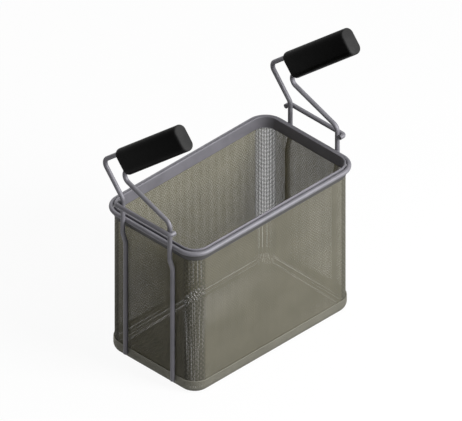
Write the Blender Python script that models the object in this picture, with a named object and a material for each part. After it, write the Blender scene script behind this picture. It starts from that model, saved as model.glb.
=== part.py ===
"""Rectangular basket of wire mesh with a welded wire handle and a flat grip at each end.

The basket stands on its floor tray. X runs along the long side, Y along the short side and Z up,
and the origin is on the ground under the middle of the tray. All sizes are in metres.
"""

import math

import bmesh
import bpy
from mathutils import Matrix, Vector

# Clearance between pieces that touch
GAP = 0.0003

# Basket body, measured on the outside of the mesh wall
BODY_LENGTH = 0.290
BODY_WIDTH = 0.160
BODY_HEIGHT = 0.229
CORNER_RADIUS = 0.022

# Mesh: a thin web with raised wires, upright ones outside and level ones inside
MESH_WEB = 0.0004
MESH_WIRE_RISE = 0.0004
MESH_WIRE_WIDTH = 0.0016
UPRIGHT_PITCH = 0.0154
LEVEL_PITCH = 0.0376
FLOOR_WIRE_PITCH = 0.0188

# Gaps through the mesh, one in every second cell and staggered from row to row
GAP_MARGIN = 0.0005
GAP_EVERY_CELLS = 2
FLOOR_GAP_PITCH = 0.038
FLOOR_GAP_BAR = 0.012

# Floor tray
TRAY_SHEET = 0.0012
TRAY_FLANGE_HEIGHT = 0.020
TRAY_EDGE_RADIUS = 0.0108

# Sheet band folded over the top edge of the mesh
BAND_SHEET = 0.0004
BAND_HEIGHT = 0.0175

# Round wire of the rim hoop, the handles and the crossbars
WIRE_DIAMETER = 0.0064
WELD_SINK = 0.0020
RING_DROP = 0.0048

# Handle legs on the end walls
LEG_SPACING = 0.0863
LEG_END_HEIGHT = 0.0105
JOG_TOP_DROP = 0.025
JOG_LENGTH = 0.016
REAR_BEND_RISE = 0.0296
FRONT_BEND_RISE = 0.0331

# Handle wires above the rim, and the grip, in the plane of the end wall
GRIP_TILT = math.radians(40.3)
GRIP_START_BACK = 0.0401
GRIP_START_RISE = 0.0901
GRIP_LENGTH = 0.143
GRIP_WIDTH = 0.0375
GRIP_THICKNESS = 0.0195
GRIP_EDGE_FLAT = 0.0009
GRIP_END_RADIUS = 0.0025
RUN_SPACING = 0.0246
REAR_RUN = 0.0412
FRONT_RUN = 0.0224
RUN_DEPTH = 0.118
HANDLE_BEND_RADIUS = 0.010

# Crossbar over the legs
CROSSBAR_RISE = 0.0205
CROSSBAR_RETURN = 0.0086
CROSSBAR_BEND_RADIUS = 0.005

# Fineness of the round shapes
WIRE_SIDES = 10
CORNER_STEPS = 5
EDGE_STEPS = 4
GRIP_SIDE_STEPS = 4
GRIP_END_STEPS = 2
BEND_STEP = math.radians(16.0)
SMOOTH_ANGLE = math.radians(35.0)

# Offsets from the outside of the mesh wall, positive outwards
WIRE_RADIUS = WIRE_DIAMETER / 2
MESH_THICKNESS = MESH_WEB + 2 * MESH_WIRE_RISE
TRAY_INSIDE = GAP
TRAY_OUTSIDE = TRAY_INSIDE + TRAY_SHEET
BAND_OUTSIDE = GAP + BAND_SHEET
BAND_INSIDE = -MESH_THICKNESS - GAP - BAND_SHEET
BAND_FOLD_RADIUS = (BAND_OUTSIDE - BAND_INSIDE) / 2
RING_OFFSET = BAND_OUTSIDE + GAP + WIRE_RADIUS
LEG_OFFSET_HIGH = RING_OFFSET + WIRE_DIAMETER - WELD_SINK
LEG_OFFSET_LOW = GAP + WIRE_RADIUS
CROSSBAR_OFFSET = LEG_OFFSET_HIGH + WIRE_DIAMETER + GAP

# Cutters reach past what they cut by this much, and a bend takes this share of a straight
CUT_REACH = 0.006
BEND_SHARE = 0.48

# Heights above the ground
RING_HEIGHT = BODY_HEIGHT - RING_DROP
WALL_TOP = BODY_HEIGHT - BAND_FOLD_RADIUS
WALL_FOOT = TRAY_EDGE_RADIUS + GAP
CROSSBAR_HEIGHT = BODY_HEIGHT + CROSSBAR_RISE
CROSSBAR_HALF = LEG_SPACING / 2 + WIRE_DIAMETER + GAP

# The narrow sides of the grip are rounded over nearly their whole thickness
GRIP_SIDE_RADIUS = (GRIP_THICKNESS - GRIP_EDGE_FLAT) / 2

# Along the grip and across it towards the back, in the plane of the end wall
ALONG_GRIP = Vector((0, -math.cos(GRIP_TILT), math.sin(GRIP_TILT)))
ACROSS_GRIP = Vector((0, math.sin(GRIP_TILT), math.cos(GRIP_TILT)))


def clear_scene():
    """Remove everything that is already in the scene."""
    for obj in list(bpy.data.objects):
        bpy.data.objects.remove(obj, do_unlink=True)


def finish(name, colour, roughness, metallic):
    """Return a material with one Principled BSDF."""
    material = bpy.data.materials.new(name)
    material.use_nodes = True
    shader = material.node_tree.nodes["Principled BSDF"]
    shader.inputs["Base Color"].default_value = (*colour, 1.0)
    shader.inputs["Roughness"].default_value = roughness
    shader.inputs["Metallic"].default_value = metallic
    return material


def mesh_steel(name):
    """Return the warm grey of fine stainless steel mesh."""
    return finish(name, (0.20, 0.19, 0.15), 0.45, 0.7)


def wire_steel(name):
    """Return the cool grey of drawn stainless steel wire and strip."""
    return finish(name, (0.33, 0.32, 0.36), 0.35, 0.9)


def grip_black(name):
    """Return the black of the moulded grips."""
    return finish(name, (0.008, 0.008, 0.008), 0.5, 0.0)


def add_object(name, bm, material=None):
    """Turn a finished bmesh into a named object with outward faces and smooth round sides."""
    bmesh.ops.recalc_face_normals(bm, faces=bm.faces)
    mesh = bpy.data.meshes.new(name)
    bm.to_mesh(mesh)
    bm.free()
    mesh.shade_smooth()
    mesh.set_sharp_from_angle(angle=SMOOTH_ANGLE)
    obj = bpy.data.objects.new(name, mesh)
    bpy.context.scene.collection.objects.link(obj)
    if material:
        mesh.materials.append(material)
    return obj


def add_cutter(name, bm):
    """Turn a finished bmesh into a cutting shape that isn't part of the basket."""
    cutter = add_object(name, bm)
    cutter.hide_render = True
    cutter.display_type = "WIRE"
    return cutter


def combine(obj, other, operation="DIFFERENCE"):
    """Cut another shape from an object, or join it on, with a live Boolean."""
    boolean = obj.modifiers.new(operation.lower() + " " + other.name, "BOOLEAN")
    boolean.operation = operation
    boolean.solver = "EXACT"
    boolean.object = other


def loft(rings, closed=False):
    """Join rings with the same number of points into one solid.

    A closed loft runs from the last ring back to the first. An open one gets a face at each end.
    """
    bm = bmesh.new()
    loops = [[bm.verts.new(point) for point in ring] for ring in rings]
    pairs = list(zip(loops, loops[1:]))
    if closed:
        pairs.append((loops[-1], loops[0]))
    else:
        bm.faces.new(loops[0])
        bm.faces.new(loops[-1])
    for low, high in pairs:
        for k in range(len(low)):
            n = (k + 1) % len(low)
            bm.faces.new((low[k], low[n], high[n], high[k]))
    return bm


def outline(offset, height):
    """Return the rounded rectangle of the body, moved outwards by an offset, at one height."""
    radius = CORNER_RADIUS + offset
    points = []
    for quarter, (sx, sy) in enumerate(((1, 1), (-1, 1), (-1, -1), (1, -1))):
        centre_x = sx * (BODY_LENGTH / 2 - CORNER_RADIUS)
        centre_y = sy * (BODY_WIDTH / 2 - CORNER_RADIUS)
        for step in range(CORNER_STEPS + 1):
            angle = math.pi / 2 * (quarter + step / CORNER_STEPS)
            x = centre_x + radius * math.cos(angle)
            y = centre_y + radius * math.sin(angle)
            points.append(Vector((x, y, height)))
    return points


def profile_loft(profile, closed=False):
    """Carry a profile of (offset, height) points round the body."""
    return loft([outline(offset, height) for offset, height in profile], closed)


def arc(centre, radius, start, end, steps):
    """Return points along an arc in the plane of offset and height, angles in degrees."""
    angles = [math.radians(start + (end - start) * step / steps) for step in range(steps + 1)]
    return [(centre[0] + radius * math.cos(a), centre[1] + radius * math.sin(a)) for a in angles]


def rounded_path(corners, radius):
    """Return a path whose inner corners are bends of one radius, shortened where a straight is."""
    path = [corners[0]]
    for before, corner, after in zip(corners, corners[1:], corners[2:]):
        into = corner - before
        out = after - corner
        shorter = min(into.length, out.length)
        into.normalize()
        out.normalize()
        turn = into.angle(out)
        reach = min(radius * math.tan(turn / 2), BEND_SHARE * shorter)
        bend = reach / math.tan(turn / 2)
        side = (out - into * into.dot(out)).normalized()
        centre = corner - into * reach + side * bend
        steps = max(1, round(turn / BEND_STEP))
        for step in range(steps + 1):
            angle = turn * step / steps
            path.append(centre + bend * (into * math.sin(angle) - side * math.cos(angle)))
    path.append(corners[-1])
    return path


def round_wire(path, radius):
    """Sweep a round section along a path, mitred at each point so that its diameter holds."""
    ahead = (path[1] - path[0]).normalized()
    side = ahead.orthogonal().normalized()
    spokes = [Matrix.Rotation(math.tau * k / WIRE_SIDES, 3, ahead) @ side for k in range(WIRE_SIDES)]
    ring = [path[0] + radius * spoke for spoke in spokes]
    rings = [ring]
    for before, here, after in zip(path, path[1:], path[2:] + [None]):
        ahead = (here - before).normalized()
        mitre = ahead if after is None else (ahead + (after - here).normalized()).normalized()
        ring = [p + ahead * (here - p).dot(mitre) / ahead.dot(mitre) for p in ring]
        rings.append(ring)
    return loft(rings)


def wall_sides():
    """Yield the middle, direction, outward normal, flat length and cells of each wall side."""
    flat_x = BODY_LENGTH - 2 * CORNER_RADIUS
    flat_y = BODY_WIDTH - 2 * CORNER_RADIUS
    for turn, half, flat in ((0, BODY_LENGTH / 2, flat_y), (1, BODY_WIDTH / 2, flat_x),
                             (2, BODY_LENGTH / 2, flat_y), (3, BODY_WIDTH / 2, flat_x)):
        rotation = Matrix.Rotation(turn * math.pi / 2, 3, "Z")
        outward = rotation @ Vector((1, 0, 0))
        along = rotation @ Vector((0, 1, 0))
        cells = max(GAP_EVERY_CELLS, round(flat / UPRIGHT_PITCH))
        yield half * outward, along, outward, flat, cells


def upright_wire_section(place, along, outward):
    """Return one upright mesh wire's outline, a low trapezium that stands on the web."""
    half = MESH_WIRE_WIDTH / 2
    foot = place - MESH_WIRE_RISE * outward
    return [foot - half * along, place - half / 2 * along, place + half / 2 * along, foot + half * along]


def ribbed_outline():
    """Return the outer outline of the mesh wall with every upright wire, seen from above."""
    points = []
    for middle, along, outward, flat, cells in wall_sides():
        for k in range(cells + 1):
            place = middle + (k / cells - 0.5) * flat * along
            points.extend(upright_wire_section(place, along, outward))
        centre = middle + flat / 2 * along - CORNER_RADIUS * outward
        for step in range(1, CORNER_STEPS):
            angle = math.pi / 2 * step / CORNER_STEPS
            normal = math.cos(angle) * outward + math.sin(angle) * along
            tangent = math.cos(angle) * along - math.sin(angle) * outward
            points.extend(upright_wire_section(centre + CORNER_RADIUS * normal, tangent, normal))
    return points


def level_wire_heights():
    """Return the height of each level mesh wire, clear of the tray and of the rim band."""
    low = TRAY_FLANGE_HEIGHT + MESH_WIRE_WIDTH
    high = BODY_HEIGHT - BAND_HEIGHT - MESH_WIRE_WIDTH
    rows = max(1, round((high - low) / LEVEL_PITCH))
    return [low + (high - low) * row / rows for row in range(rows + 1)]


def wall_core():
    """Return the inside of the mesh wall as a solid, narrower at each level wire."""
    web = -MESH_WIRE_RISE - MESH_WEB
    half = MESH_WIRE_WIDTH / 2
    profile = [(web, WALL_FOOT - CUT_REACH)]
    for height in level_wire_heights():
        profile += [(web, height - half), (-MESH_THICKNESS, height), (web, height + half)]
    profile.append((web, WALL_TOP + CUT_REACH))
    return profile_loft(profile)


def between_wires(pitch):
    """Return the size of a gap between two mesh wires at one pitch."""
    return pitch - MESH_WIRE_WIDTH - 2 * GAP_MARGIN


def wall_gaps():
    """Return the blocks that cut the gaps through the wall, staggered from row to row."""
    bm = bmesh.new()
    heights = level_wire_heights()
    for row, (low, high) in enumerate(zip(heights, heights[1:])):
        for turn, (middle, along, _, flat, cells) in enumerate(wall_sides()):
            gap = (CUT_REACH, between_wires(flat / cells), between_wires(high - low))
            block = Matrix.Rotation(turn * math.pi / 2, 4, "Z") @ Matrix.Diagonal((*gap, 1))
            for cell in range(row % GAP_EVERY_CELLS, cells, GAP_EVERY_CELLS):
                place = middle + ((cell + 0.5) / cells - 0.5) * flat * along
                stand = Matrix.Translation((place.x, place.y, (low + high) / 2))
                bmesh.ops.create_cube(bm, size=1, matrix=stand @ block)
    return bm


def make_wall_mesh():
    """Make the mesh sleeve: a ribbed outside, a core taken out of it, and the gaps."""
    section = ribbed_outline()
    rings = [[point + Vector((0, 0, height)) for point in section] for height in (WALL_FOOT, WALL_TOP)]
    wall = add_object("wall_mesh", loft(rings), mesh_steel("wall_mesh_steel"))
    combine(wall, add_cutter("wall_core", wall_core()))
    combine(wall, add_cutter("wall_gaps", wall_gaps()))


def floor_rows():
    """Return the flat floor's half length, its half width and the number of rows between wires."""
    half_x = BODY_LENGTH / 2 + TRAY_OUTSIDE - TRAY_EDGE_RADIUS
    half_y = BODY_WIDTH / 2 + TRAY_OUTSIDE - TRAY_EDGE_RADIUS
    return half_x, half_y, max(2, round(2 * half_y / FLOOR_WIRE_PITCH))


def floor_wires():
    """Return the long wires of the floor, low trapeziums whose feet are sunk in the sheet."""
    half_x, half_y, rows = floor_rows()
    foot = TRAY_SHEET / 2
    top = TRAY_SHEET + MESH_WIRE_RISE
    half = MESH_WIRE_WIDTH / 2
    bm = bmesh.new()
    for row in range(1, rows):
        y = (2 * row / rows - 1) * half_y
        section = ((y - half, foot), (y + half, foot), (y + half / 2, top), (y - half / 2, top))
        near, far = ([bm.verts.new((x, *point)) for point in section] for x in (-half_x, half_x))
        bm.faces.new(near)
        bm.faces.new(far)
        for k in range(len(section)):
            n = (k + 1) % len(section)
            bm.faces.new((near[k], near[n], far[n], far[k]))
    return bm


def floor_gaps():
    """Return the blocks that cut the gaps through the floor, staggered from row to row."""
    half_x, half_y, rows = floor_rows()
    columns = max(2, round(2 * half_x / FLOOR_GAP_PITCH))
    pitch = 2 * half_x / columns
    size = Matrix.Diagonal((pitch - FLOOR_GAP_BAR, between_wires(2 * half_y / rows), CUT_REACH, 1))
    bm = bmesh.new()
    for row in range(rows):
        y = ((2 * row + 1) / rows - 1) * half_y
        row_columns = columns - row % 2
        for column in range(row_columns):
            x = (column + 0.5 - row_columns / 2) * pitch
            bmesh.ops.create_cube(bm, size=1, matrix=Matrix.Translation((x, y, 0)) @ size)
    return bm


def make_floor_mesh():
    """Make the floor tray, a shallow pan with a rounded lower edge round the foot of the wall."""
    edge = TRAY_EDGE_RADIUS
    bend = (TRAY_OUTSIDE - edge, edge)
    profile = arc(bend, edge, -90, 0, EDGE_STEPS)
    profile += [(TRAY_OUTSIDE, TRAY_FLANGE_HEIGHT), (TRAY_INSIDE, TRAY_FLANGE_HEIGHT)]
    profile += arc(bend, edge - TRAY_SHEET, 0, -90, EDGE_STEPS)
    tray = add_object("floor_mesh", profile_loft(profile), mesh_steel("floor_mesh_steel"))
    combine(tray, add_cutter("floor_wires", floor_wires()), "UNION")
    combine(tray, add_cutter("floor_gaps", floor_gaps()))


def make_rim_band():
    """Make the sheet band folded over the top edge of the mesh, with a round fold."""
    foot = BODY_HEIGHT - BAND_HEIGHT
    fold = ((BAND_OUTSIDE + BAND_INSIDE) / 2, WALL_TOP)
    profile = [(BAND_OUTSIDE, foot)]
    profile += arc(fold, BAND_FOLD_RADIUS, 0, 180, EDGE_STEPS)
    profile += [(BAND_INSIDE, foot), (BAND_INSIDE + BAND_SHEET, foot)]
    profile += arc(fold, BAND_FOLD_RADIUS - BAND_SHEET, 180, 0, EDGE_STEPS)
    profile.append((BAND_OUTSIDE - BAND_SHEET, foot))
    add_object("rim_band", profile_loft(profile, closed=True), wire_steel("rim_band_steel"))


def ring_section(radius):
    """Return the round section of the rim hoop as (offset, height) points."""
    return arc((RING_OFFSET, RING_HEIGHT), radius, 0, 360, WIRE_SIDES)[:-1]


def make_rim_ring():
    """Make the round wire hoop outside the band."""
    hoop = profile_loft(ring_section(WIRE_RADIUS), closed=True)
    add_object("rim_ring", hoop, wire_steel("rim_ring_steel"))


def leg_seats():
    """Return the cutters that seat the handle legs on the rim hoop and on the tray's flange."""
    hoop = add_cutter("hoop_clearance", profile_loft(ring_section(WIRE_RADIUS + GAP), closed=True))
    flange = TRAY_OUTSIDE + GAP
    block = profile_loft([(flange, 0), (flange, TRAY_FLANGE_HEIGHT + GAP)])
    return hoop, add_cutter("flange_clearance", block)


def grip_start(x):
    """Return the middle of the grip's lower end at one x."""
    return Vector((x, GRIP_START_BACK, BODY_HEIGHT + GRIP_START_RISE))


def handle_path(end):
    """Return the path of one handle wire, from the foot of the rear leg to that of the front leg."""
    low = end * (BODY_LENGTH / 2 + LEG_OFFSET_LOW)
    high = end * (BODY_LENGTH / 2 + LEG_OFFSET_HIGH)
    rear = LEG_SPACING / 2
    jog_top = BODY_HEIGHT - JOG_TOP_DROP
    leg = [(low, LEG_END_HEIGHT), (low, jog_top - JOG_LENGTH), (high, jog_top)]
    half_run = RUN_SPACING / 2 * ACROSS_GRIP
    start = grip_start(high)
    corners = [Vector((x, rear, z)) for x, z in leg]
    corners.append(Vector((high, rear, BODY_HEIGHT + REAR_BEND_RISE)))
    corners.append(start - REAR_RUN * ALONG_GRIP + half_run)
    corners.append(start + RUN_DEPTH * ALONG_GRIP + half_run)
    corners.append(start + RUN_DEPTH * ALONG_GRIP - half_run)
    corners.append(start - FRONT_RUN * ALONG_GRIP - half_run)
    corners.append(Vector((high, -rear, BODY_HEIGHT + FRONT_BEND_RISE)))
    corners.extend(Vector((x, -rear, z)) for x, z in reversed(leg))
    return rounded_path(corners, HANDLE_BEND_RADIUS)


def grip_ring(x, distance, inset):
    """Return the grip's rounded outline at one distance along it, drawn in by an inset."""
    half_width = GRIP_WIDTH / 2 - GRIP_SIDE_RADIUS
    half_depth = GRIP_EDGE_FLAT / 2
    middle = grip_start(x) + distance * ALONG_GRIP
    radius = GRIP_SIDE_RADIUS - inset
    ring = []
    for quarter, (sx, sv) in enumerate(((1, 1), (-1, 1), (-1, -1), (1, -1))):
        for step in range(GRIP_SIDE_STEPS + 1):
            angle = math.pi / 2 * (quarter + step / GRIP_SIDE_STEPS)
            side = sx * half_depth + radius * math.cos(angle)
            across = sv * half_width + radius * math.sin(angle)
            ring.append(middle + Vector((side, 0, 0)) + across * ACROSS_GRIP)
    return ring


def make_grip(name, end, wire_clearance):
    """Make one flat grip with round narrow sides and eased ends, bored for the handle wire."""
    x = end * (BODY_LENGTH / 2 + LEG_OFFSET_HIGH)
    stations = []
    for step in range(GRIP_END_STEPS + 1):
        angle = math.pi / 2 * step / GRIP_END_STEPS
        distance = GRIP_END_RADIUS * (1 - math.cos(angle))
        stations.append((distance, GRIP_END_RADIUS * (1 - math.sin(angle))))
    stations += [(GRIP_LENGTH - distance, inset) for distance, inset in reversed(stations)]
    rings = [grip_ring(x, distance, inset) for distance, inset in stations]
    grip = add_object(name, loft(rings), grip_black(name + "_black"))
    combine(grip, wire_clearance)


def make_crossbar(name, end):
    """Make the wire staple across the legs, with its two ends bent back towards the basket."""
    outside = end * (BODY_LENGTH / 2 + CROSSBAR_OFFSET)
    inside = outside - end * CROSSBAR_RETURN
    places = ((inside, CROSSBAR_HALF), (outside, CROSSBAR_HALF),
              (outside, -CROSSBAR_HALF), (inside, -CROSSBAR_HALF))
    corners = [Vector((x, y, CROSSBAR_HEIGHT)) for x, y in places]
    path = rounded_path(corners, CROSSBAR_BEND_RADIUS)
    add_object(name, round_wire(path, WIRE_RADIUS), wire_steel(name + "_steel"))


def make_handle(side, end, seats):
    """Make one handle: its wire seated on the body, its crossbar and its grip."""
    name = "handle_wire_" + side
    path = handle_path(end)
    wire = add_object(name, round_wire(path, WIRE_RADIUS), wire_steel(name + "_steel"))
    for seat in seats:
        combine(wire, seat)
    clearance = add_cutter(name + "_clearance", round_wire(path, WIRE_RADIUS + GAP))
    make_crossbar("crossbar_" + side, end)
    make_grip("grip_" + side, end, clearance)


def main():
    """Build the whole basket."""
    clear_scene()
    make_wall_mesh()
    make_floor_mesh()
    make_rim_band()
    make_rim_ring()
    seats = leg_seats()
    make_handle("left", -1, seats)
    make_handle("right", 1, seats)


main()
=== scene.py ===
"""Looks of the wire mesh basket: woven mesh, folded rim band, round wires, moulded grips, stage.

The mesh of the walls, the tray's edge and the rim band are modelled straight along X and then bent
round the body by a guide curve, as the real ones are. All sizes are in metres.
"""

import math

import bpy
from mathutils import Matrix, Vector


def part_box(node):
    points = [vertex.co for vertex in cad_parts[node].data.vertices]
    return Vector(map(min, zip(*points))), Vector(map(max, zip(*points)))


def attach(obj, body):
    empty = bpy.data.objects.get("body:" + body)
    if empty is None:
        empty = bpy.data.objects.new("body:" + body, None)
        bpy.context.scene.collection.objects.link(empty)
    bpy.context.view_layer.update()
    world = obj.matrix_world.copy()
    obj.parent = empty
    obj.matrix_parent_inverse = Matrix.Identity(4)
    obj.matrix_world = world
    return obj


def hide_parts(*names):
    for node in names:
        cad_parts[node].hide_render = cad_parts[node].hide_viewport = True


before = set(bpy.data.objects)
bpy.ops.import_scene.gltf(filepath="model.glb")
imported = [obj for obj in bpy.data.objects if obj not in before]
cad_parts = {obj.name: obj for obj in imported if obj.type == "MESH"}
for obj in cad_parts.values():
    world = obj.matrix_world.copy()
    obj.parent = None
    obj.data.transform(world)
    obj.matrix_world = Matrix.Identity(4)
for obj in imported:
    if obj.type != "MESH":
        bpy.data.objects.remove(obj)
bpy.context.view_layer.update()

bl_info = {
    "name": "Wire mesh basket",
    "version": (1, 0, 0),
    "blender": (4, 5, 0),
    "location": "3D View > Sidebar > Basket",
    "description": "Builds a woven wire basket with two wire handles round its fixed frame",
    "category": "Add Mesh",
}

# The one body that every piece rides on
BODY = "root"

# Places of the main pieces, read from the frame, and the radius of the body's upright corners
WALL_LOW, WALL_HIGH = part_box("wall_mesh")
BAND_LOW, BAND_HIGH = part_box("rim_band")
TRAY_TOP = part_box("floor_mesh")[1].z
HALF_LENGTH = WALL_HIGH.x
HALF_WIDTH = WALL_HIGH.y
RIM_HEIGHT = BAND_HIGH.z
CORNER_RADIUS = 0.022

# Sizes of the mesh. An inset runs from the body's outline inwards to the middle of the weave.
# The crimp is how far a wire swings to each side, as a share of half its width, and a turn of
# its section by FLATS_OUT sets its flats in and out.
MESH_INSET = 0.0006
TRAY_INSET = -0.00105
TRAY_EDGE_RADIUS = 0.01005
CRIMP = 0.4
FLATS_OUT = math.pi / 4
SEAM_GAP = 0.0001

# Sizes of the rim band, with the steps of its bend round the body and, in degrees, of its fold
SHEET = 0.0004
BAND_OUTSIDE = BAND_HIGH.x - HALF_LENGTH
BAND_DEPTH = 0.0026
BAND_STEP = 0.003
FOLD_STEP = 15
JOIN_GAP = 1e-5

# Sizes of the wires, the handles and the grips. Offsets run outwards from the body, rises and
# drops run from the rim's top, and the runs are the two stretches of wire that enter the grip.
# A bend takes at most BEND_SHARE of the shorter straight beside it.
RING_OFFSET = 0.0042
RING_DROP = 0.0048
LEG_OFFSET_LOW = 0.0035
LEG_OFFSET_HIGH = 0.0086
LEG_SPACING = 0.0863
LEG_END_HEIGHT = 0.0105
JOG_TOP_DROP = 0.025
JOG_LENGTH = 0.016
REAR_BEND_RISE = 0.0296
FRONT_BEND_RISE = 0.0331
HANDLE_BEND_RADIUS = 0.010
BEND_SHARE = 0.48
RUN_SPACING = 0.0246
REAR_RUN = 0.0412
FRONT_RUN = 0.0224
RUN_DEPTH = 0.118
CROSSBAR_RISE = 0.0205
CROSSBAR_OFFSET = 0.0150
CROSSBAR_HALF = 0.04985
CROSSBAR_RETURN = 0.0086
CROSSBAR_BEND_RADIUS = 0.005
WIRE_END_BEVEL = 0.0006
WIRE_END_STEPS = 2
WIRE_END_ANGLE = 1.2
GRIP_TILT = math.radians(40.3)
GRIP_START_BACK = 0.0401
GRIP_START_RISE = 0.0901
GRIP_EDGE_FLAT = 0.0009
GRIP_END_RADIUS = 0.0025
ALONG_GRIP = Vector((0, -math.cos(GRIP_TILT), math.sin(GRIP_TILT)))
ACROSS_GRIP = Vector((0, math.sin(GRIP_TILT), math.cos(GRIP_TILT)))

# Fineness of the round shapes. A round wire has four sides and two more for each extra pair.
CORNER_STEPS = 18
BEND_STEP = math.radians(6.0)
LEAST_BEND_STEPS = 3
EXTRA_PAIRS = 8
GRIP_SIDE_STEPS = 16
GRIP_END_STEPS = 5
SMOOTH_ANGLE = math.radians(50.0)

# Noise of the finishes: its scale and its detail, and the limits that make patches of it
MESH_PATCHES = (28.0, 3.0)
MESH_LIMITS = (0.3, 0.7)
MESH_GRAIN = (1400.0, 2.0)
WIRE_PATCHES = (45.0, 4.0)
WIRE_MARKS = (1900.0, 2.0)
STRIP_PATCHES = (30.0, 3.0)
STRIP_LINES = (2600.0, 2.0)
ALONG_STRIP = (0.02, 0.02, 1.0)
METAL_LIMITS = (0.35, 0.65)
GRIP_GRAIN = (1100.0, 3.0)
GRIP_WEAR_AND_SHEEN = (60.0, 4.0)
GRIP_LIMITS = (0.4, 0.75)

# How much roughness each noise adds at most, how much smoother the strip starts than the wire,
# and how deep the marks are
MESH_GRAIN_ROUGH = 0.16
WIRE_PATCH_ROUGH = 0.08
WIRE_MARK_ROUGH = 0.12
STRIP_LINE_ROUGH = 0.2
STRIP_POLISH = 0.06
GRIP_GRAIN_ROUGH = 0.14
GRIP_WEAR_ROUGH = 0.06
MESH_GRAIN_DEPTH = 0.00004
WIRE_MARK_DEPTH = 0.00003
STRIP_LINE_DEPTH = 0.00004
GRIP_GRAIN_DEPTH = 0.00008

# Where the steel changes tone: the distances over which outside meets inside, a knuckle rises,
# straight wall meets corner, side meets end and the painted shadow on the strip's outside fades.
# The glints are painted highlights on the corners' knuckles, with their spacing up and around a
# corner, and the heights are those over which the painted light inside the walls and the painted
# shade of the tray near the ground fade out.
MIDDLE_BLUR = 0.0001
KNUCKLE_RISE = (0.0001, 0.0004)
CORNER_BLUR = (0.003, 0.010)
SIDE_BLUR = 0.001
HOOP_SHADOW_BLUR = 0.0004
GLINT_UP = 0.0077
GLINT_AROUND = 0.0065
GLINT_LIMITS = (-0.2, 0.6)
SHADE_LIFT_HEIGHTS = (0.06, 0.18)
GROUND_SHADE_HEIGHTS = (0.003, TRAY_EDGE_RADIUS + 0.002)

# Where the grips get a painted grey sheen at their ends: how far from an end it starts and is full,
# and its least share
SHEEN_START = 0.006
SHEEN_FULL = 0.0002
SHEEN_LEAST = 0.75

# Stage: the camera for a picture 462 pixels wide, the floor and the world as seen and as they
# light, and each lamp's name, direction, distance, size and power in watts
PICTURE_WIDTH = 0.5994
CAMERA_DISTANCE = 2.0
TARGET_RIGHT = 0.00117
TARGET_UP = 0.1508
FLOOR_RADIUS = 6.0
FLOOR_SIDES = 96
FLOOR_GREYS = (0.9, 0.45)
FLOOR_GLOWS = (0.94, 0.0)
WORLD_STRENGTHS = (1.0, 0.04)
LAMP_TARGET = Vector((0, 0, 0.17))
LAMPS = (
    ("key", (0.3, -1.0, 0.6), 1.8, 0.8, 50.0),
    ("fill", (0.3, 1.0, 0.6), 2.0, 1.4, 11.0),
    ("top", (0.3, -0.3, 1.0), 2.0, 1.2, 8.0),
)


def select_only(obj):
    """Deselect everything, then select one object and make it active."""
    bpy.ops.object.select_all(action="DESELECT")
    obj.select_set(True)
    bpy.context.view_layer.objects.active = obj


def poly_spline(curve, points, cyclic=False, tilt=0.0):
    """Add a spline through the points to a curve, its section turned by a tilt."""
    spline = curve.splines.new("POLY")
    spline.points.add(len(points) - 1)
    for place, point in zip(spline.points, points):
        place.co = (*point, 1.0)
        place.tilt = tilt
    spline.use_cyclic_u = cyclic


def add_wires(name, paths, radius, extra_pairs=EXTRA_PAIRS, cyclic=False, caps=True, tilt=0.0):
    """Add wires along paths and return them as one mesh object."""
    curve = bpy.data.curves.new(name, "CURVE")
    curve.dimensions = "3D"
    curve.twist_mode = "MINIMUM"
    curve.bevel_depth = radius
    curve.bevel_resolution = extra_pairs
    curve.use_fill_caps = caps
    for path in paths:
        poly_spline(curve, path, cyclic, tilt)
    obj = bpy.data.objects.new(name, curve)
    bpy.context.scene.collection.objects.link(obj)
    select_only(obj)
    bpy.ops.object.convert(target="MESH")
    obj = bpy.context.view_layer.objects.active
    obj.name = name
    return obj


def add_mesh_wires(name, paths, radius, caps=True):
    """Add fine mesh wires, square in section with their flats facing in and out."""
    return add_wires(name, paths, radius, extra_pairs=0, caps=caps, tilt=FLATS_OUT)


def rounded_rectangle(half_x, half_y, radius, height):
    """Return a rounded rectangle's points, from the middle of its left end, front side first."""
    points = [Vector((-half_x, 0, height))]
    corners = ((-1, -1, 180), (1, -1, 270), (1, 1, 0), (-1, 1, 90))
    for side_x, side_y, start in corners:
        for step in range(CORNER_STEPS + 1):
            angle = math.radians(start + 90 * step / CORNER_STEPS)
            x = side_x * (half_x - radius) + radius * math.cos(angle)
            y = side_y * (half_y - radius) + radius * math.sin(angle)
            points.append(Vector((x, y, height)))
    return points


def apply_modifier(obj, kind, **settings):
    """Add a modifier with its settings and apply it."""
    select_only(obj)
    modifier = obj.modifiers.new(kind.lower(), kind)
    for name, value in settings.items():
        setattr(modifier, name, value)
    bpy.ops.object.modifier_apply(modifier=modifier.name)


def repeat(obj, count, step, merge=False):
    """Repeat an object in equal steps, joined end to end if asked."""
    apply_modifier(obj, "ARRAY", count=count, use_relative_offset=False, use_constant_offset=True,
                   constant_offset_displace=step, use_merge_vertices=merge,
                   merge_threshold=JOIN_GAP)


def join(name, objects):
    """Join objects into one with a name."""
    select_only(objects[0])
    for obj in objects:
        obj.select_set(True)
    bpy.ops.object.join()
    joined = bpy.context.view_layer.objects.active
    joined.name = name
    return joined


def bend_round(obj, inset):
    """Bend an object that lies along X round the body at an inset, its Y turned inwards."""
    outline = rounded_rectangle(HALF_LENGTH - inset, HALF_WIDTH - inset, CORNER_RADIUS - inset, 0)
    curve = bpy.data.curves.new("guide", "CURVE")
    curve.dimensions = "3D"
    curve.twist_mode = "Z_UP"
    poly_spline(curve, outline, cyclic=True)
    guide = bpy.data.objects.new("guide", curve)
    bpy.context.scene.collection.objects.link(guide)
    apply_modifier(obj, "CURVE", object=guide, deform_axis="POS_X")
    bpy.data.objects.remove(guide, do_unlink=True)


def outline_length(inset):
    """Return the length of the body's outline at one inset."""
    straight = 4 * (HALF_LENGTH + HALF_WIDTH - 2 * CORNER_RADIUS)
    return straight + math.tau * (CORNER_RADIUS - inset)


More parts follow.
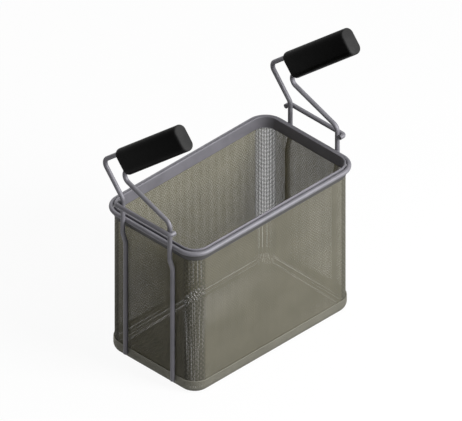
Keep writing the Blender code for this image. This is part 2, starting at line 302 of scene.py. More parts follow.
def dress(obj, material):
    """Give an object one material."""
    obj.data.materials.clear()
    obj.data.materials.append(material)


def keep(obj, material, node):
    """Dress a finished piece, shade its round sides smooth and let it stand for a CAD node."""
    dress(obj, material)
    select_only(obj)
    bpy.ops.object.shade_smooth_by_angle(angle=SMOOTH_ANGLE)
    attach(obj, BODY)
    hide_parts(node)


class Value:
    """A number in a material, whose arithmetic adds Math nodes."""

    def __init__(self, shader, socket):
        self.shader = shader
        self.socket = socket

    def math(self, operation, *others):
        """Return the result of one Math node on this value and others."""
        inputs = dict(enumerate((self, *others)))
        node = self.shader.node("ShaderNodeMath", {"operation": operation}, inputs)
        return Value(self.shader, node.outputs[0])

    def __add__(self, other):
        return self.math("ADD", other)

    def __sub__(self, other):
        return self.math("SUBTRACT", other)

    def __rsub__(self, other):
        return (self * -1.0) + other

    def __mul__(self, other):
        return self.math("MULTIPLY", other)

    __radd__ = __add__
    __rmul__ = __mul__

    def size(self):
        """Return the value without its sign."""
        return self.math("ABSOLUTE")

    def between(self, low, high):
        """Return 0 on low's side, 1 on high's side and a smooth change between them."""
        node = self.shader.node("ShaderNodeMapRange", {"interpolation_type": "SMOOTHSTEP"},
                                {"Value": self, "From Min": low, "From Max": high})
        return Value(self.shader, node.outputs["Result"])


class Shader:
    """One material with its Principled BSDF and the nodes that feed it."""

    def __init__(self, name, roughness, metallic, gloss=0.5):
        self.material = bpy.data.materials.new(name)
        self.material.use_nodes = True
        self.tree = self.material.node_tree
        self.bsdf = self.tree.nodes["Principled BSDF"]
        self.bsdf.inputs["Roughness"].default_value = roughness
        self.bsdf.inputs["Metallic"].default_value = metallic
        self.bsdf.inputs["Specular IOR Level"].default_value = gloss
        self.place = self.node("ShaderNodeTexCoord").outputs["Object"]

    def node(self, kind, settings=None, inputs=None):
        """Add a node, set it, then give its sockets values or links."""
        node = self.tree.nodes.new(kind)
        for name, value in (settings or {}).items():
            setattr(node, name, value)
        for name, value in (inputs or {}).items():
            self.feed(self.socket(node.inputs, name), value)
        return node

    @staticmethod
    def socket(sockets, name):
        """Return the socket in use that has a name or a number."""
        if isinstance(name, int):
            return sockets[name]
        return next(socket for socket in sockets if socket.enabled and socket.name == name)

    def feed(self, socket, value):
        """Link a value or a socket to a socket, or set a plain number or colour on it."""
        if isinstance(value, Value):
            value = value.socket
        if isinstance(value, bpy.types.NodeSocket):
            self.tree.links.new(value, socket)
        else:
            socket.default_value = value

    def noise(self, scale, detail, stretch=(1.0, 1.0, 1.0)):
        """Return noise from 0 to 1 in object space, drawn out along an axis by a small factor."""
        where = self.node("ShaderNodeMapping", None, {"Vector": self.place, "Scale": stretch})
        node = self.node("ShaderNodeTexNoise", None,
                         {"Vector": where.outputs[0], "Scale": scale, "Detail": detail})
        return Value(self, node.outputs[0])

    def axes(self):
        """Return the three object coordinates as values."""
        parts = self.node("ShaderNodeSeparateXYZ", None, {0: self.place})
        return [Value(self, socket) for socket in parts.outputs]

    def blend(self, factor, first, second):
        """Return a colour between two colours."""
        node = self.node("ShaderNodeMix", {"data_type": "RGBA"},
                         {"Factor": factor, "A": first, "B": second})
        return self.socket(node.outputs, "Result")

    def set(self, name, value):
        """Feed one socket of the Principled BSDF."""
        self.feed(self.bsdf.inputs[name], value)

    def bump(self, height, depth):
        """Raise the surface by a height from 0 to 1, times a depth in metres."""
        node = self.node("ShaderNodeBump", None, {"Height": height, "Distance": depth})
        self.set("Normal", node.outputs[0])


def past_straights(x, y):
    """Return how far a place lies past the straight walls along X, along Y and in all.

    The last is its distance from a corner's axis, where it lies round a corner.
    """
    over_x = (x.size() - (HALF_LENGTH - CORNER_RADIUS)).math("MAXIMUM", 0.0)
    over_y = (y.size() - (HALF_WIDTH - CORNER_RADIUS)).math("MAXIMUM", 0.0)
    return over_x, over_y, (over_x * over_x + over_y * over_y).math("SQRT")


def mesh_tone(shader, dark, light):
    """Return the warm grey of woven wire, a little patchy."""
    patches = shader.noise(*MESH_PATCHES).between(*MESH_LIMITS)
    return shader.blend(patches, (*dark, 1.0), (*light, 1.0))


def mesh_grain(shader, roughness):
    """Give the fine wire its drawn grain."""
    grain = shader.noise(*MESH_GRAIN)
    shader.set("Roughness", grain * MESH_GRAIN_ROUGH + (roughness - MESH_GRAIN_ROUGH / 2))
    shader.bump(grain, MESH_GRAIN_DEPTH)


def wall_steel(name, look):
    """Make the steel of the wall mesh, with painted light inside the ends and low down, and painted
    shade and painted glints where it is bent.
    """
    shader = Shader(name, look.mesh_roughness, 0.0, look.mesh_gloss)
    x, y, z = shader.axes()
    over_x, over_y, reach = past_straights(x, y)
    outwards = reach - (CORNER_RADIUS - MESH_INSET)
    outside = outwards.between(-MIDDLE_BLUR, MIDDLE_BLUR)
    crown = outwards.size().between(*KNUCKLE_RISE)
    # The glints: a painted lattice of highlights on the knuckles round the corners.
    around = over_y.math("ARCTAN2", over_x) * (CORNER_RADIUS * math.tau / GLINT_AROUND)
    up = z * (math.tau / GLINT_UP)
    glints = (around.math("COSINE") * up.math("COSINE")).between(*GLINT_LIMITS)
    corner = (over_x * over_y).math("SQRT").between(*CORNER_BLUR)
    outer_tone = mesh_tone(shader, look.mesh_dark, look.mesh_light)
    unlifted_inner_tone = mesh_tone(shader, look.inside_dark, look.inside_light)
    # Inside the ends and low down the wall gets a lighter tone: painted light over the shade that
    # falls there.
    shade_lift_tone = mesh_tone(shader, look.shade_lift_dark, look.shade_lift_light)
    ends = (over_x - over_y).between(-SIDE_BLUR, SIDE_BLUR)
    shade_lift = ends.math("MAXIMUM", 1.0 - z.between(*SHADE_LIFT_HEIGHTS))
    inner_tone = shader.blend(shade_lift, unlifted_inner_tone, shade_lift_tone)
    tone = shader.blend(outside, inner_tone, outer_tone)
    # At the corners: painted shade between painted glints outside, and darker painted shade inside
    # the bends.
    outer = shader.blend(crown * glints, (*look.corner_shade_dark, 1.0), (*look.corner_glint_light, 1.0))
    inner = shader.blend(crown * glints, (*look.hollow_shade_dark, 1.0), (*look.hollow_shade_light, 1.0))
    bent = shader.blend(outside, inner, outer)
    shader.set("Base Color", shader.blend(corner, tone, bent))
    mesh_grain(shader, look.mesh_roughness)
    return shader.material


def tray_steel(name, look):
    """Make the steel of the tray mesh, lighter than the wall and with painted shade near the
    ground.
    """
    shader = Shader(name, look.mesh_roughness, look.tray_metallic, look.tray_gloss)
    # Painted shade: the tray darkens near the ground.
    unshaded = shader.axes()[2].between(*GROUND_SHADE_HEIGHTS)
    tone = mesh_tone(shader, look.tray_dark, look.tray_light)
    shader.set("Base Color", shader.blend(unshaded, (*look.tray_ground_shade, 1.0), tone))
    mesh_grain(shader, look.mesh_roughness)
    return shader.material


def wire_steel(name, look):
    """Make the cool grey of drawn wire, with faint drawing marks and a handled tone."""
    shader = Shader(name, look.wire_roughness, look.wire_metallic)
    patches = shader.noise(*WIRE_PATCHES).between(*METAL_LIMITS)
    marks = shader.noise(*WIRE_MARKS)
    tone = shader.blend(patches, (*look.wire_dark, 1.0), (*look.wire_light, 1.0))
    shader.set("Base Color", tone)
    least = look.wire_roughness - (WIRE_PATCH_ROUGH + WIRE_MARK_ROUGH) / 2
    shader.set("Roughness", patches * WIRE_PATCH_ROUGH + marks * WIRE_MARK_ROUGH + least)
    shader.bump(marks, WIRE_MARK_DEPTH)
    return shader.material


def strip_steel(name, look):
    """Make the satin grey of rolled strip, brushed along its length, with a painted shadow under
    the hoop.
    """
    shader = Shader(name, look.wire_roughness, look.wire_metallic)
    patches = shader.noise(*STRIP_PATCHES).between(*METAL_LIMITS)
    lines = shader.noise(*STRIP_LINES, ALONG_STRIP)
    x, y, z = shader.axes()
    # Painted shadow: the strip's outside just under the hoop is darkened.
    outside = (past_straights(x, y)[2] - CORNER_RADIUS).between(0.0, HOOP_SHADOW_BLUR)
    hoop = RIM_HEIGHT - RING_DROP
    below = z.between(hoop, hoop - look.wire_diameter / 2)
    tone = shader.blend(patches, (*look.strip_dark, 1.0), (*look.strip_light, 1.0))
    shader.set("Base Color", shader.blend(outside * below, tone, (*look.strip_hoop_shadow, 1.0)))
    shader.set("Roughness", lines * STRIP_LINE_ROUGH + (look.wire_roughness - STRIP_POLISH))
    shader.bump(lines, STRIP_LINE_DEPTH)
    return shader.material


def grip_start(x):
    """Return the middle of the grip's lower end at one x."""
    return Vector((x, GRIP_START_BACK, RIM_HEIGHT + GRIP_START_RISE))


def grip_black(name, look):
    """Make the black of moulded plastic, with a fine even grain, patchy wear in its roughness and a
    painted grey sheen at its ends.
    """
    shader = Shader(name, look.grip_roughness, 0.0, look.grip_gloss)
    grain = shader.noise(*GRIP_GRAIN)
    handled = shader.noise(*GRIP_WEAR_AND_SHEEN).between(*GRIP_LIMITS)
    y, z = shader.axes()[1:]
    half = look.grip_length / 2
    middle = grip_start(0.0).dot(ALONG_GRIP) + half
    along = y * ALONG_GRIP.y + z * ALONG_GRIP.z - middle
    # Painted sheen: the ends turn grey in patches, and the same patchy noise sets the wear in the
    # roughness.
    near_end = along.size().between(half - SHEEN_START, half - SHEEN_FULL)
    end_sheen = near_end * (handled * (1 - SHEEN_LEAST) + SHEEN_LEAST)
    tone = shader.blend(end_sheen, (*look.grip_colour, 1.0), (*look.grip_end_sheen, 1.0))
    shader.set("Base Color", tone)
    least = look.grip_roughness - (GRIP_GRAIN_ROUGH + GRIP_WEAR_ROUGH) / 2
    shader.set("Roughness", grain * GRIP_GRAIN_ROUGH + handled * GRIP_WEAR_ROUGH + least)
    shader.bump(grain, GRIP_GRAIN_DEPTH)
    return shader.material


class BasketSettings(bpy.types.PropertyGroup):
    """Sizes and colours of the basket that a user would change."""

    mesh_pitch: bpy.props.FloatProperty(
        name="Mesh pitch", description="Distance from wire to wire",
        default=0.0021, unit="LENGTH")
    mesh_wire: bpy.props.FloatProperty(
        name="Mesh wire", description="Width of the mesh wire from corner to corner",
        default=0.00102, unit="LENGTH")
    mesh_dark: bpy.props.FloatVectorProperty(
        name="Mesh dark", description="Darker tone of the mesh",
        default=(0.174, 0.166, 0.13), subtype="COLOR")
    mesh_light: bpy.props.FloatVectorProperty(
        name="Mesh light", description="Lighter tone of the mesh",
        default=(0.196, 0.187, 0.147), subtype="COLOR")
    inside_dark: bpy.props.FloatVectorProperty(
        name="Inside dark", description="Darker tone inside the mesh",
        default=(0.165, 0.153, 0.1), subtype="COLOR")
    inside_light: bpy.props.FloatVectorProperty(
        name="Inside light", description="Lighter tone inside the mesh",
        default=(0.183, 0.17, 0.112), subtype="COLOR")
    # Painted light: lighter tones inside the end walls and low down, where they lie in shade.
    shade_lift_dark: bpy.props.FloatVectorProperty(
        name="Shade lift dark", description="Darker tone inside the ends and low down, painted lighter over their shade",
        default=(0.215, 0.196, 0.115), subtype="COLOR")
    shade_lift_light: bpy.props.FloatVectorProperty(
        name="Shade lift light", description="Lighter tone inside the ends and low down",
        default=(0.238, 0.217, 0.128), subtype="COLOR")
    # Painted light at the corners: painted shade between painted glints on the outside, and darker
    # painted shade inside the bends.
    corner_shade_dark: bpy.props.FloatVectorProperty(
        name="Corner shade dark", description="Tone between the knuckles of the bent mesh",
        default=(0.128, 0.123, 0.097), subtype="COLOR")
    corner_glint_light: bpy.props.FloatVectorProperty(
        name="Corner glint light", description="Painted glints on the knuckles of the bent mesh",
        default=(0.205, 0.196, 0.158), subtype="COLOR")
    hollow_shade_dark: bpy.props.FloatVectorProperty(
        name="Hollow shade dark", description="Tone between the knuckles inside the bends",
        default=(0.03, 0.029, 0.023), subtype="COLOR")
    hollow_shade_light: bpy.props.FloatVectorProperty(
        name="Hollow shade light", description="Knuckles inside the bends",
        default=(0.1, 0.095, 0.075), subtype="COLOR")
    tray_dark: bpy.props.FloatVectorProperty(
        name="Tray dark", description="Darker tone of the tray",
        default=(0.225, 0.218, 0.178), subtype="COLOR")
    tray_light: bpy.props.FloatVectorProperty(
        name="Tray light", description="Lighter tone of the tray",
        default=(0.255, 0.247, 0.202), subtype="COLOR")
    # Painted shade on the tray near the ground.
    tray_ground_shade: bpy.props.FloatVectorProperty(
        name="Tray ground shade", description="Tone of the tray near the ground",
        default=(0.12, 0.116, 0.095), subtype="COLOR")
    tray_gloss: bpy.props.FloatProperty(
        name="Tray gloss", description="Specular level of the tray",
        default=0.5, subtype="FACTOR")
    tray_metallic: bpy.props.FloatProperty(
        name="Tray metallic", description="How metallic the tray is",
        default=0.35, subtype="FACTOR")
    mesh_roughness: bpy.props.FloatProperty(
        name="Mesh roughness", description="Roughness of the mesh wire",
        default=0.5, subtype="FACTOR")
    mesh_gloss: bpy.props.FloatProperty(
        name="Mesh gloss", description="Specular level of the mesh wire",
        default=0.1, subtype="FACTOR")
    wire_diameter: bpy.props.FloatProperty(
        name="Wire", description="Diameter of the rim and handle wire",
        default=0.0064, unit="LENGTH")
    wire_dark: bpy.props.FloatVectorProperty(
        name="Wire dark", description="Darker tone of the wire",
        default=(0.15, 0.147, 0.163), subtype="COLOR")
    wire_light: bpy.props.FloatVectorProperty(
        name="Wire light", description="Lighter tone of the wire",
        default=(0.183, 0.178, 0.199), subtype="COLOR")
    wire_roughness: bpy.props.FloatProperty(
        name="Wire roughness", description="Roughness of the wire",
        default=0.58, subtype="FACTOR")
    wire_metallic: bpy.props.FloatProperty(
        name="Wire metallic", description="How metallic the wire is",
        default=0.3, subtype="FACTOR")
    strip_dark: bpy.props.FloatVectorProperty(
        name="Strip dark", description="Darker tone of the rim strip",
        default=(0.14, 0.136, 0.152), subtype="COLOR")
    strip_light: bpy.props.FloatVectorProperty(
        name="Strip light", description="Lighter tone of the rim strip",
        default=(0.17, 0.165, 0.185), subtype="COLOR")
    # Painted shadow on the strip under the hoop.
    strip_hoop_shadow: bpy.props.FloatVectorProperty(
        name="Strip hoop shadow", description="Painted shadow on the rim strip under the hoop",
        default=(0.055, 0.053, 0.052), subtype="COLOR")
    grip_length: bpy.props.FloatProperty(
        name="Grip length", description="Length of each grip",
        default=0.143, unit="LENGTH")
    grip_width: bpy.props.FloatProperty(
        name="Grip width", description="Width of each grip",
        default=0.0375, unit="LENGTH")
    grip_thickness: bpy.props.FloatProperty(
        name="Grip thickness", description="Thickness of each grip",
        default=0.0195, unit="LENGTH")
    grip_colour: bpy.props.FloatVectorProperty(
        name="Grip colour", description="Black of the grips",
        default=(0.001, 0.001, 0.001), subtype="COLOR")
    # Painted sheen on the grips' ends.
    grip_end_sheen: bpy.props.FloatVectorProperty(
        name="Grip end sheen", description="Painted grey sheen on the grips' ends",
        default=(0.036, 0.036, 0.036), subtype="COLOR")
    grip_roughness: bpy.props.FloatProperty(
        name="Grip roughness", description="Roughness of the grips",
        default=0.42, subtype="FACTOR")
    grip_gloss: bpy.props.FloatProperty(
        name="Grip gloss", description="Specular level of the grips",
        default=0.02, subtype="FACTOR")


def around_count(pitch, inset):
    """Return the number of mesh cells round the body, a multiple of four."""
    return 4 * round(outline_length(inset) / pitch / 4)


def upright_pair(profile, count, step):
    """Return the paths of two neighbouring upright wires that weave in opposite phase.

    A profile gives Y and Z for a share of the way along an upright and a side of the weave.
    """
    paths = []
    for phase in (0, 1):
        path = [Vector((phase * step, *profile(0.0, 0.0)))]
        for row in range(count):
            side = 1.0 if (row + phase) % 2 else -1.0
            path.append(Vector((phase * step, *profile((row + 0.5) / count, side))))
        path.append(Vector((phase * step, *profile(1.0, 0.0))))
        paths.append(path)
    return paths


def level_path(profile, row, count, step, cells):
    """Return the path of one level wire, laid out straight along X."""
    path = []
    for cell in range(cells + 1):
        side = -1.0 if (row + cell) % 2 else 1.0
        path.append(Vector((cell * step, *profile((row + 0.5) / count, side))))
    return path


def close_seam(obj):
    """Merge the two ends of what was bent round the body."""
    select_only(obj)
    bpy.ops.object.mode_set(mode="EDIT")
    bpy.ops.mesh.select_all(action="SELECT")
    bpy.ops.mesh.remove_doubles(threshold=SEAM_GAP)
    bpy.ops.mesh.normals_make_consistent(inside=False)
    bpy.ops.object.mode_set(mode="OBJECT")


def move_mesh(obj, step):
    """Move an object and keep its origin where it was."""
    select_only(obj)
    obj.location = step
    bpy.ops.object.transform_apply(location=True, rotation=False, scale=False)


class BASKET_OT_wall_weave(bpy.types.Operator):
    """Weave the mesh sleeve of the walls"""

    bl_idname = "basket.wall_weave"
    bl_label = "Wall mesh"

    def execute(self, context):
        look = context.scene.basket
        radius = look.mesh_wire / 2
        length = outline_length(MESH_INSET)
        cells = around_count(look.mesh_pitch, MESH_INSET)
        step = length / cells
        height = WALL_HIGH.z - WALL_LOW.z
        rows = 2 * round(height / step / 2)

        def profile(share, side):
            return (side * CRIMP * radius, WALL_LOW.z + share * height)

        # The uprights and the levels are each made in two pieces, so that none grows too heavy
        material = wall_steel("wall_mesh_steel", look)
        for name, start in (("wall_uprights_front", 0), ("wall_uprights_back", cells // 2)):
            wires = add_mesh_wires(name, upright_pair(profile, rows, step), radius)
            repeat(wires, cells // 4, (2 * step, 0, 0))
            move_mesh(wires, (start * step, 0, 0))
            bend_round(wires, MESH_INSET)
            keep(wires, material, "wall_mesh")
        half = rows // 4 * 2
        for name, first, last in (("wall_levels_low", 0, half), ("wall_levels_high", half, rows)):
            paths = [level_path(profile, row, rows, step, cells) for row in (first, first + 1)]
            wires = add_mesh_wires(name, paths, radius, caps=False)
            repeat(wires, (last - first) // 2, (0, 0, 2 * height / rows))
            bend_round(wires, MESH_INSET)
            close_seam(wires)
            keep(wires, material, "wall_mesh")
        return {"FINISHED"}


def half_weave(radius):
    """Return half the thickness of the woven mesh, from the corner radius of its square wires."""
    return (CRIMP + math.sqrt(0.5)) * radius


def tray_profile(radius):
    """Return the tray's edge as a function of its share from the flange's top to the floor."""
    half = half_weave(radius)
    top = TRAY_TOP - radius
    drop = top - half - TRAY_EDGE_RADIUS
    bend = math.pi / 2 * TRAY_EDGE_RADIUS

    def profile(share, side):
        distance = share * (drop + bend)
        if distance < drop:
            return (side * CRIMP * radius, top - distance)
        angle = (distance - drop) / TRAY_EDGE_RADIUS
        reach = TRAY_EDGE_RADIUS - side * CRIMP * radius
        height = half + TRAY_EDGE_RADIUS - reach * math.sin(angle)
        return (TRAY_EDGE_RADIUS - reach * math.cos(angle), height)

    return profile


class BASKET_OT_tray_weave(bpy.types.Operator):
    """Weave the mesh of the floor tray and of its rounded edge"""

    bl_idname = "basket.tray_weave"
    bl_label = "Tray mesh"

    def execute(self, context):
        look = context.scene.basket
        material = tray_steel("tray_mesh_steel", look)
        for wires in (self.edge(look), self.floor(look)):
            keep(wires, material, "floor_mesh")
        return {"FINISHED"}

    def edge(self, look):
        """Weave the turned-up edge, with a plain wire along its top."""
        radius = look.mesh_wire / 2
        cells = around_count(look.mesh_pitch, TRAY_INSET)
        step = outline_length(TRAY_INSET) / cells
        profile = tray_profile(radius)
        bend = math.pi / 2 * TRAY_EDGE_RADIUS
        count = round((TRAY_TOP - TRAY_EDGE_RADIUS + bend) / step)
        uprights = add_mesh_wires("tray_uprights", upright_pair(profile, count, step), radius)
        repeat(uprights, cells // 2, (2 * step, 0, 0))
        paths = [level_path(profile, row, count, step, cells) for row in range(count)]
        paths.append([Vector((cell * step, *profile(0.0, 0.0))) for cell in range(cells + 1)])
        levels = add_mesh_wires("tray_levels", paths, radius, caps=False)
        for wires in (uprights, levels):
            bend_round(wires, TRAY_INSET)
        close_seam(levels)
        return join("tray_edge_mesh", [uprights, levels])

    def floor(self, look):
        """Weave the flat floor, with each wire cut to the rounded outline."""
        radius = look.mesh_wire / 2
        inset = TRAY_INSET + TRAY_EDGE_RADIUS
        half = (HALF_LENGTH - inset, HALF_WIDTH - inset)
        corner = CORNER_RADIUS - inset
        counts = [round(2 * size / look.mesh_pitch) for size in half]
        paths = []
        for along, across in ((0, 1), (1, 0)):
            for row in range(counts[across]):
                place = ((row + 0.5) / counts[across] * 2 - 1) * half[across]
                over = max(0.0, abs(place) - half[across] + corner)
                reach = half[along] - corner + math.sqrt(corner ** 2 - over ** 2)
                spots = [(-reach, 0)]
                for cell in range(counts[along]):
                    spot = ((cell + 0.5) / counts[along] * 2 - 1) * half[along]
                    side = 1 if (row + cell + along) % 2 else -1
                    if abs(spot) < reach:
                        spots.append((spot, side))
                spots.append((reach, 0))
                path = []
                for spot, side in spots:
                    point = Vector((0, 0, half_weave(radius) + side * CRIMP * radius))
                    point[along] = spot
                    point[across] = place
                    path.append(point)
                paths.append(path)
        return add_mesh_wires("tray_floor_mesh", paths, radius)


class BASKET_OT_rim(bpy.types.Operator):
    """Fold the rim band and bend the hoop round it"""

    bl_idname = "basket.rim"
    bl_label = "Rim"

    def execute(self, context):
        look = context.scene.basket
        band = self.band()
        keep(band, strip_steel("rim_band_steel", look), "rim_band")
        outline = rounded_rectangle(HALF_LENGTH + RING_OFFSET, HALF_WIDTH + RING_OFFSET,
                                    CORNER_RADIUS + RING_OFFSET, RIM_HEIGHT - RING_DROP)
        hoop = add_wires("rim_hoop", [outline], look.wire_diameter / 2, cyclic=True)
        keep(hoop, wire_steel("rim_hoop_steel", look), "rim_ring")
        return {"FINISHED"}

    def band(self):
        """Fold a straight strip over the mesh's top edge, then bend it round the body."""
        outer = BAND_DEPTH / 2
        middle = outer - BAND_OUTSIDE
        fold = RIM_HEIGHT - outer
        foot = BAND_LOW.z
        section = []
        turns = [math.radians(angle) for angle in range(0, 180 + 1, FOLD_STEP)]
        for radius, order in ((outer, reversed(turns)), (outer - SHEET, turns)):
            arc = []
            for turn in order:
                y = middle + radius * math.cos(turn)
                z = fold + radius * math.sin(turn)
                arc.append(Vector((0, y, z)))
            section += [Vector((0, arc[0].y, foot)), *arc, Vector((0, arc[-1].y, foot))]
        cells = around_count(BAND_STEP, 0.0)
        step = outline_length(0.0) / cells
        strip = add_wires("rim_band_sheet", [section], 0.0, extra_pairs=0, cyclic=True)
        bpy.ops.object.mode_set(mode="EDIT")
        bpy.ops.mesh.select_all(action="SELECT")
        bpy.ops.mesh.extrude_region_move(TRANSFORM_OT_translate={"value": (step, 0, 0)})
        bpy.ops.object.mode_set(mode="OBJECT")
        repeat(strip, cells, (step, 0, 0), merge=True)
        bend_round(strip, 0.0)
        close_seam(strip)
        return strip


def rounded_path(corners, radius):
    """Return a path with bends of one radius at its corners, tighter beside a short straight."""
    path = [corners[0]]
    for before, corner, after in zip(corners, corners[1:], corners[2:]):
        into = corner - before
        out = after - corner
        shorter = min(into.length, out.length)
        into.normalize()
        out.normalize()
        turn = into.angle(out)
        reach = min(radius * math.tan(turn / 2), BEND_SHARE * shorter)
        bend = reach / math.tan(turn / 2)
        side = (out - into * into.dot(out)).normalized()
        centre = corner - into * reach + side * bend
        steps = max(LEAST_BEND_STEPS, round(turn / BEND_STEP))
        for step in range(steps + 1):
            angle = turn * step / steps
            path.append(centre + bend * (into * math.sin(angle) - side * math.cos(angle)))
    path.append(corners[-1])
    return path


def handle_path(end):
    """Return the path of one handle wire, from the rear leg's foot to the front leg's."""
    low = end * (HALF_LENGTH + LEG_OFFSET_LOW)
    high = end * (HALF_LENGTH + LEG_OFFSET_HIGH)
    rear = LEG_SPACING / 2
    jog_top = RIM_HEIGHT - JOG_TOP_DROP
    leg = [(low, LEG_END_HEIGHT), (low, jog_top - JOG_LENGTH), (high, jog_top)]
    half_run = RUN_SPACING / 2 * ACROSS_GRIP
    start = grip_start(high)
    corners = [Vector((x, rear, z)) for x, z in leg]
    corners.append(Vector((high, rear, RIM_HEIGHT + REAR_BEND_RISE)))
    corners.append(start - REAR_RUN * ALONG_GRIP + half_run)
    corners.append(start + RUN_DEPTH * ALONG_GRIP + half_run)
    corners.append(start + RUN_DEPTH * ALONG_GRIP - half_run)
    corners.append(start - FRONT_RUN * ALONG_GRIP - half_run)
    corners.append(Vector((high, -rear, RIM_HEIGHT + FRONT_BEND_RISE)))
    corners.extend(Vector((x, -rear, z)) for x, z in reversed(leg))
    return rounded_path(corners, HANDLE_BEND_RADIUS)


def crossbar_path(end):
    """Return the path of the staple across the legs, its ends bent back towards the basket."""
    outside = end * (HALF_LENGTH + CROSSBAR_OFFSET)
    inside = outside - end * CROSSBAR_RETURN
    height = RIM_HEIGHT + CROSSBAR_RISE
    rear = [Vector((inside, CROSSBAR_HALF, height)), Vector((outside, CROSSBAR_HALF, height))]
    front = [Vector((outside, -CROSSBAR_HALF, height)), Vector((inside, -CROSSBAR_HALF, height))]
    return rounded_path(rear + front, CROSSBAR_BEND_RADIUS)


class BASKET_OT_handles(bpy.types.Operator):
    """Bend the two handle wires and their crossbars"""

    bl_idname = "basket.handles"
    bl_label = "Handle wires"

    def execute(self, context):
        look = context.scene.basket
        for side, end in (("left", -1), ("right", 1)):
            for part, path in (("handle_wire", handle_path(end)), ("crossbar", crossbar_path(end))):
                node = part + "_" + side
                wire = add_wires(node + "_round", [path], look.wire_diameter / 2)
                apply_modifier(wire, "BEVEL", width=WIRE_END_BEVEL, segments=WIRE_END_STEPS,
                               limit_method="ANGLE", angle_limit=WIRE_END_ANGLE)
                keep(wire, wire_steel(node + "_steel", look), node)
        return {"FINISHED"}


class BASKET_OT_grips(bpy.types.Operator):
    """Mould the two flat grips"""

    bl_idname = "basket.grips"
    bl_label = "Grips"

    def execute(self, context):
        look = context.scene.basket
        for side, end in (("left", -1), ("right", 1)):
            node = "grip_" + side
            grip = self.grip(node + "_moulded", end * (HALF_LENGTH + LEG_OFFSET_HIGH), look)
            keep(grip, grip_black("grip_black_" + side, look), node)
        return {"FINISHED"}

    def grip(self, name, x, look):
        """Shape one grip from a block: its long edges rounded over, then its ends."""
        bpy.ops.object.select_all(action="DESELECT")
        bpy.ops.mesh.primitive_cube_add(size=1, location=(0, 0, 0))
        grip = bpy.context.view_layer.objects.active
        grip.name = name
        grip.scale = (look.grip_thickness, look.grip_length, look.grip_width)
        bpy.ops.object.transform_apply(location=False, rotation=False, scale=True)
        edge_radius = (look.grip_thickness - GRIP_EDGE_FLAT) / 2
        self.round_over(grip, edge_radius, GRIP_SIDE_STEPS, long_edges=True)
        self.round_over(grip, GRIP_END_RADIUS, GRIP_END_STEPS, long_edges=False)
        grip.rotation_euler = (-GRIP_TILT, 0, 0)
        grip.location = grip_start(x) + look.grip_length / 2 * ALONG_GRIP
        bpy.ops.object.transform_apply(location=True, rotation=True, scale=False)
        return grip

    def round_over(self, grip, radius, steps, long_edges):
        """Round over the grip's long edges, or else the edges round its two ends."""
        select_only(grip)
        bpy.ops.object.mode_set(mode="EDIT")
        bpy.ops.mesh.select_mode(type="EDGE")
        bpy.ops.mesh.select_all(action="DESELECT")
        bpy.ops.object.mode_set(mode="OBJECT")
        points = grip.data.vertices
        for edge in grip.data.edges:
            first, second = (points[k].co for k in edge.vertices)
            edge.select = (abs(first.y - second.y) > radius) == long_edges
        bpy.ops.object.mode_set(mode="EDIT")
        bpy.ops.mesh.bevel(offset=radius, offset_type="OFFSET", segments=steps, affect="EDGES")
        bpy.ops.object.mode_set(mode="OBJECT")


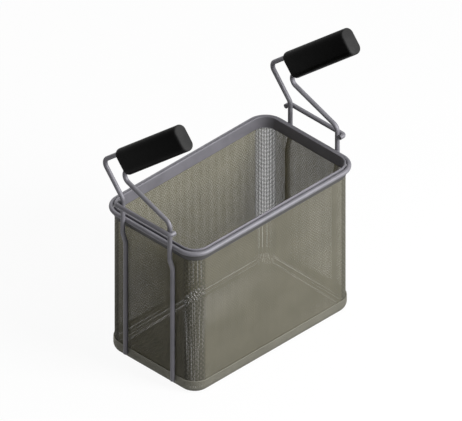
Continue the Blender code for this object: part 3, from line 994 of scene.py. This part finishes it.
class BASKET_OT_stage(bpy.types.Operator):
    """Set the floor, the lamps, the world and the camera"""

    bl_idname = "basket.stage"
    bl_label = "Stage"

    def execute(self, context):
        self.floor()
        self.world(context.scene)
        for lamp in LAMPS:
            self.lamp(*lamp)
        self.camera(context.scene)
        context.scene.view_settings.view_transform = "Standard"
        return {"FINISHED"}

    def floor(self):
        """Lay a plain pale floor that keeps the shadow and looks white."""
        bpy.ops.object.select_all(action="DESELECT")
        bpy.ops.mesh.primitive_circle_add(vertices=FLOOR_SIDES, radius=FLOOR_RADIUS,
                                          fill_type="NGON")
        floor = bpy.context.view_layer.objects.active
        floor.name = "floor"
        material = bpy.data.materials.new("pale_floor")
        material.use_nodes = True
        tree = material.node_tree
        tree.nodes.clear()
        out = tree.nodes.new("ShaderNodeOutputMaterial")
        mix = tree.nodes.new("ShaderNodeMixShader")
        glow = tree.nodes.new("ShaderNodeEmission")
        matt = tree.nodes.new("ShaderNodeBsdfDiffuse")
        tree.links.new(seen_share(tree, *FLOOR_GREYS), matt.inputs["Color"])
        tree.links.new(seen_share(tree, *FLOOR_GLOWS), mix.inputs[0])
        tree.links.new(matt.outputs[0], mix.inputs[1])
        tree.links.new(glow.outputs[0], mix.inputs[2])
        tree.links.new(mix.outputs[0], out.inputs[0])
        dress(floor, material)

    def world(self, scene):
        """Make the world white where it is seen and dim where it lights."""
        world = bpy.data.worlds.new("studio")
        scene.world = world
        world.use_nodes = True
        tree = world.node_tree
        back = tree.nodes["Background"]
        back.inputs["Color"].default_value = (1.0, 1.0, 1.0, 1.0)
        tree.links.new(seen_share(tree, *WORLD_STRENGTHS), back.inputs["Strength"])

    def lamp(self, name, direction, distance, size, power):
        """Hang one soft square lamp that points at the basket."""
        toward = Vector(direction).normalized()
        bpy.ops.object.select_all(action="DESELECT")
        bpy.ops.object.light_add(type="AREA", location=LAMP_TARGET + distance * toward)
        lamp = bpy.context.view_layer.objects.active
        lamp.name = name
        lamp.rotation_euler = toward.to_track_quat("Z", "Y").to_euler()
        lamp.data.size = size
        lamp.data.energy = power

    def camera(self, scene):
        """Look at the front left corner from above, with no perspective."""
        back = Vector((-1, -1, 1)).normalized()
        right = Vector((1, -1, 0)).normalized()
        up = Vector((1, 1, 2)).normalized()
        aim = TARGET_RIGHT * right + TARGET_UP * up
        bpy.ops.object.select_all(action="DESELECT")
        bpy.ops.object.camera_add(location=aim + CAMERA_DISTANCE * back)
        camera = bpy.context.view_layer.objects.active
        camera.rotation_euler = back.to_track_quat("Z", "Y").to_euler()
        camera.data.type = "ORTHO"
        camera.data.ortho_scale = PICTURE_WIDTH
        scene.camera = camera


def seen_share(tree, seen, other):
    """Return a socket with one number for what is seen or mirrored and another for the rest."""
    path = tree.nodes.new("ShaderNodeLightPath")
    total = path.outputs["Is Camera Ray"]
    for name in ("Is Glossy Ray", "Is Transmission Ray"):
        more = tree.nodes.new("ShaderNodeMath")
        more.operation = "MAXIMUM"
        tree.links.new(total, more.inputs[0])
        tree.links.new(path.outputs[name], more.inputs[1])
        total = more.outputs[0]
    scaled = tree.nodes.new("ShaderNodeMapRange")
    scaled.inputs["To Min"].default_value = other
    scaled.inputs["To Max"].default_value = seen
    tree.links.new(total, scaled.inputs["Value"])
    return scaled.outputs["Result"]


OPERATORS = (BASKET_OT_wall_weave, BASKET_OT_tray_weave, BASKET_OT_rim, BASKET_OT_handles,
             BASKET_OT_grips, BASKET_OT_stage)


class BASKET_PT_panel(bpy.types.Panel):
    """Lists the basket's sizes, colours and steps"""

    bl_idname = "BASKET_PT_panel"
    bl_label = "Wire mesh basket"
    bl_space_type = "VIEW_3D"
    bl_region_type = "UI"
    bl_category = "Basket"

    def draw(self, context):
        layout = self.layout
        for name in BasketSettings.__annotations__:
            layout.prop(context.scene.basket, name)
        for operator in OPERATORS:
            layout.operator(operator.bl_idname)


CLASSES = (BasketSettings, *OPERATORS, BASKET_PT_panel)


def register():
    """Register the classes and the settings."""
    for item in CLASSES:
        bpy.utils.register_class(item)
    bpy.types.Scene.basket = bpy.props.PointerProperty(type=BasketSettings)


def unregister():
    """Take the settings and the classes away."""
    del bpy.types.Scene.basket
    for item in reversed(CLASSES):
        bpy.utils.unregister_class(item)


def main():
    """Build the dressed basket on its stage."""
    register()
    bpy.ops.basket.wall_weave()
    bpy.ops.basket.tray_weave()
    bpy.ops.basket.rim()
    bpy.ops.basket.handles()
    bpy.ops.basket.grips()
    bpy.ops.basket.stage()


if __name__ == "__main__":
    main()
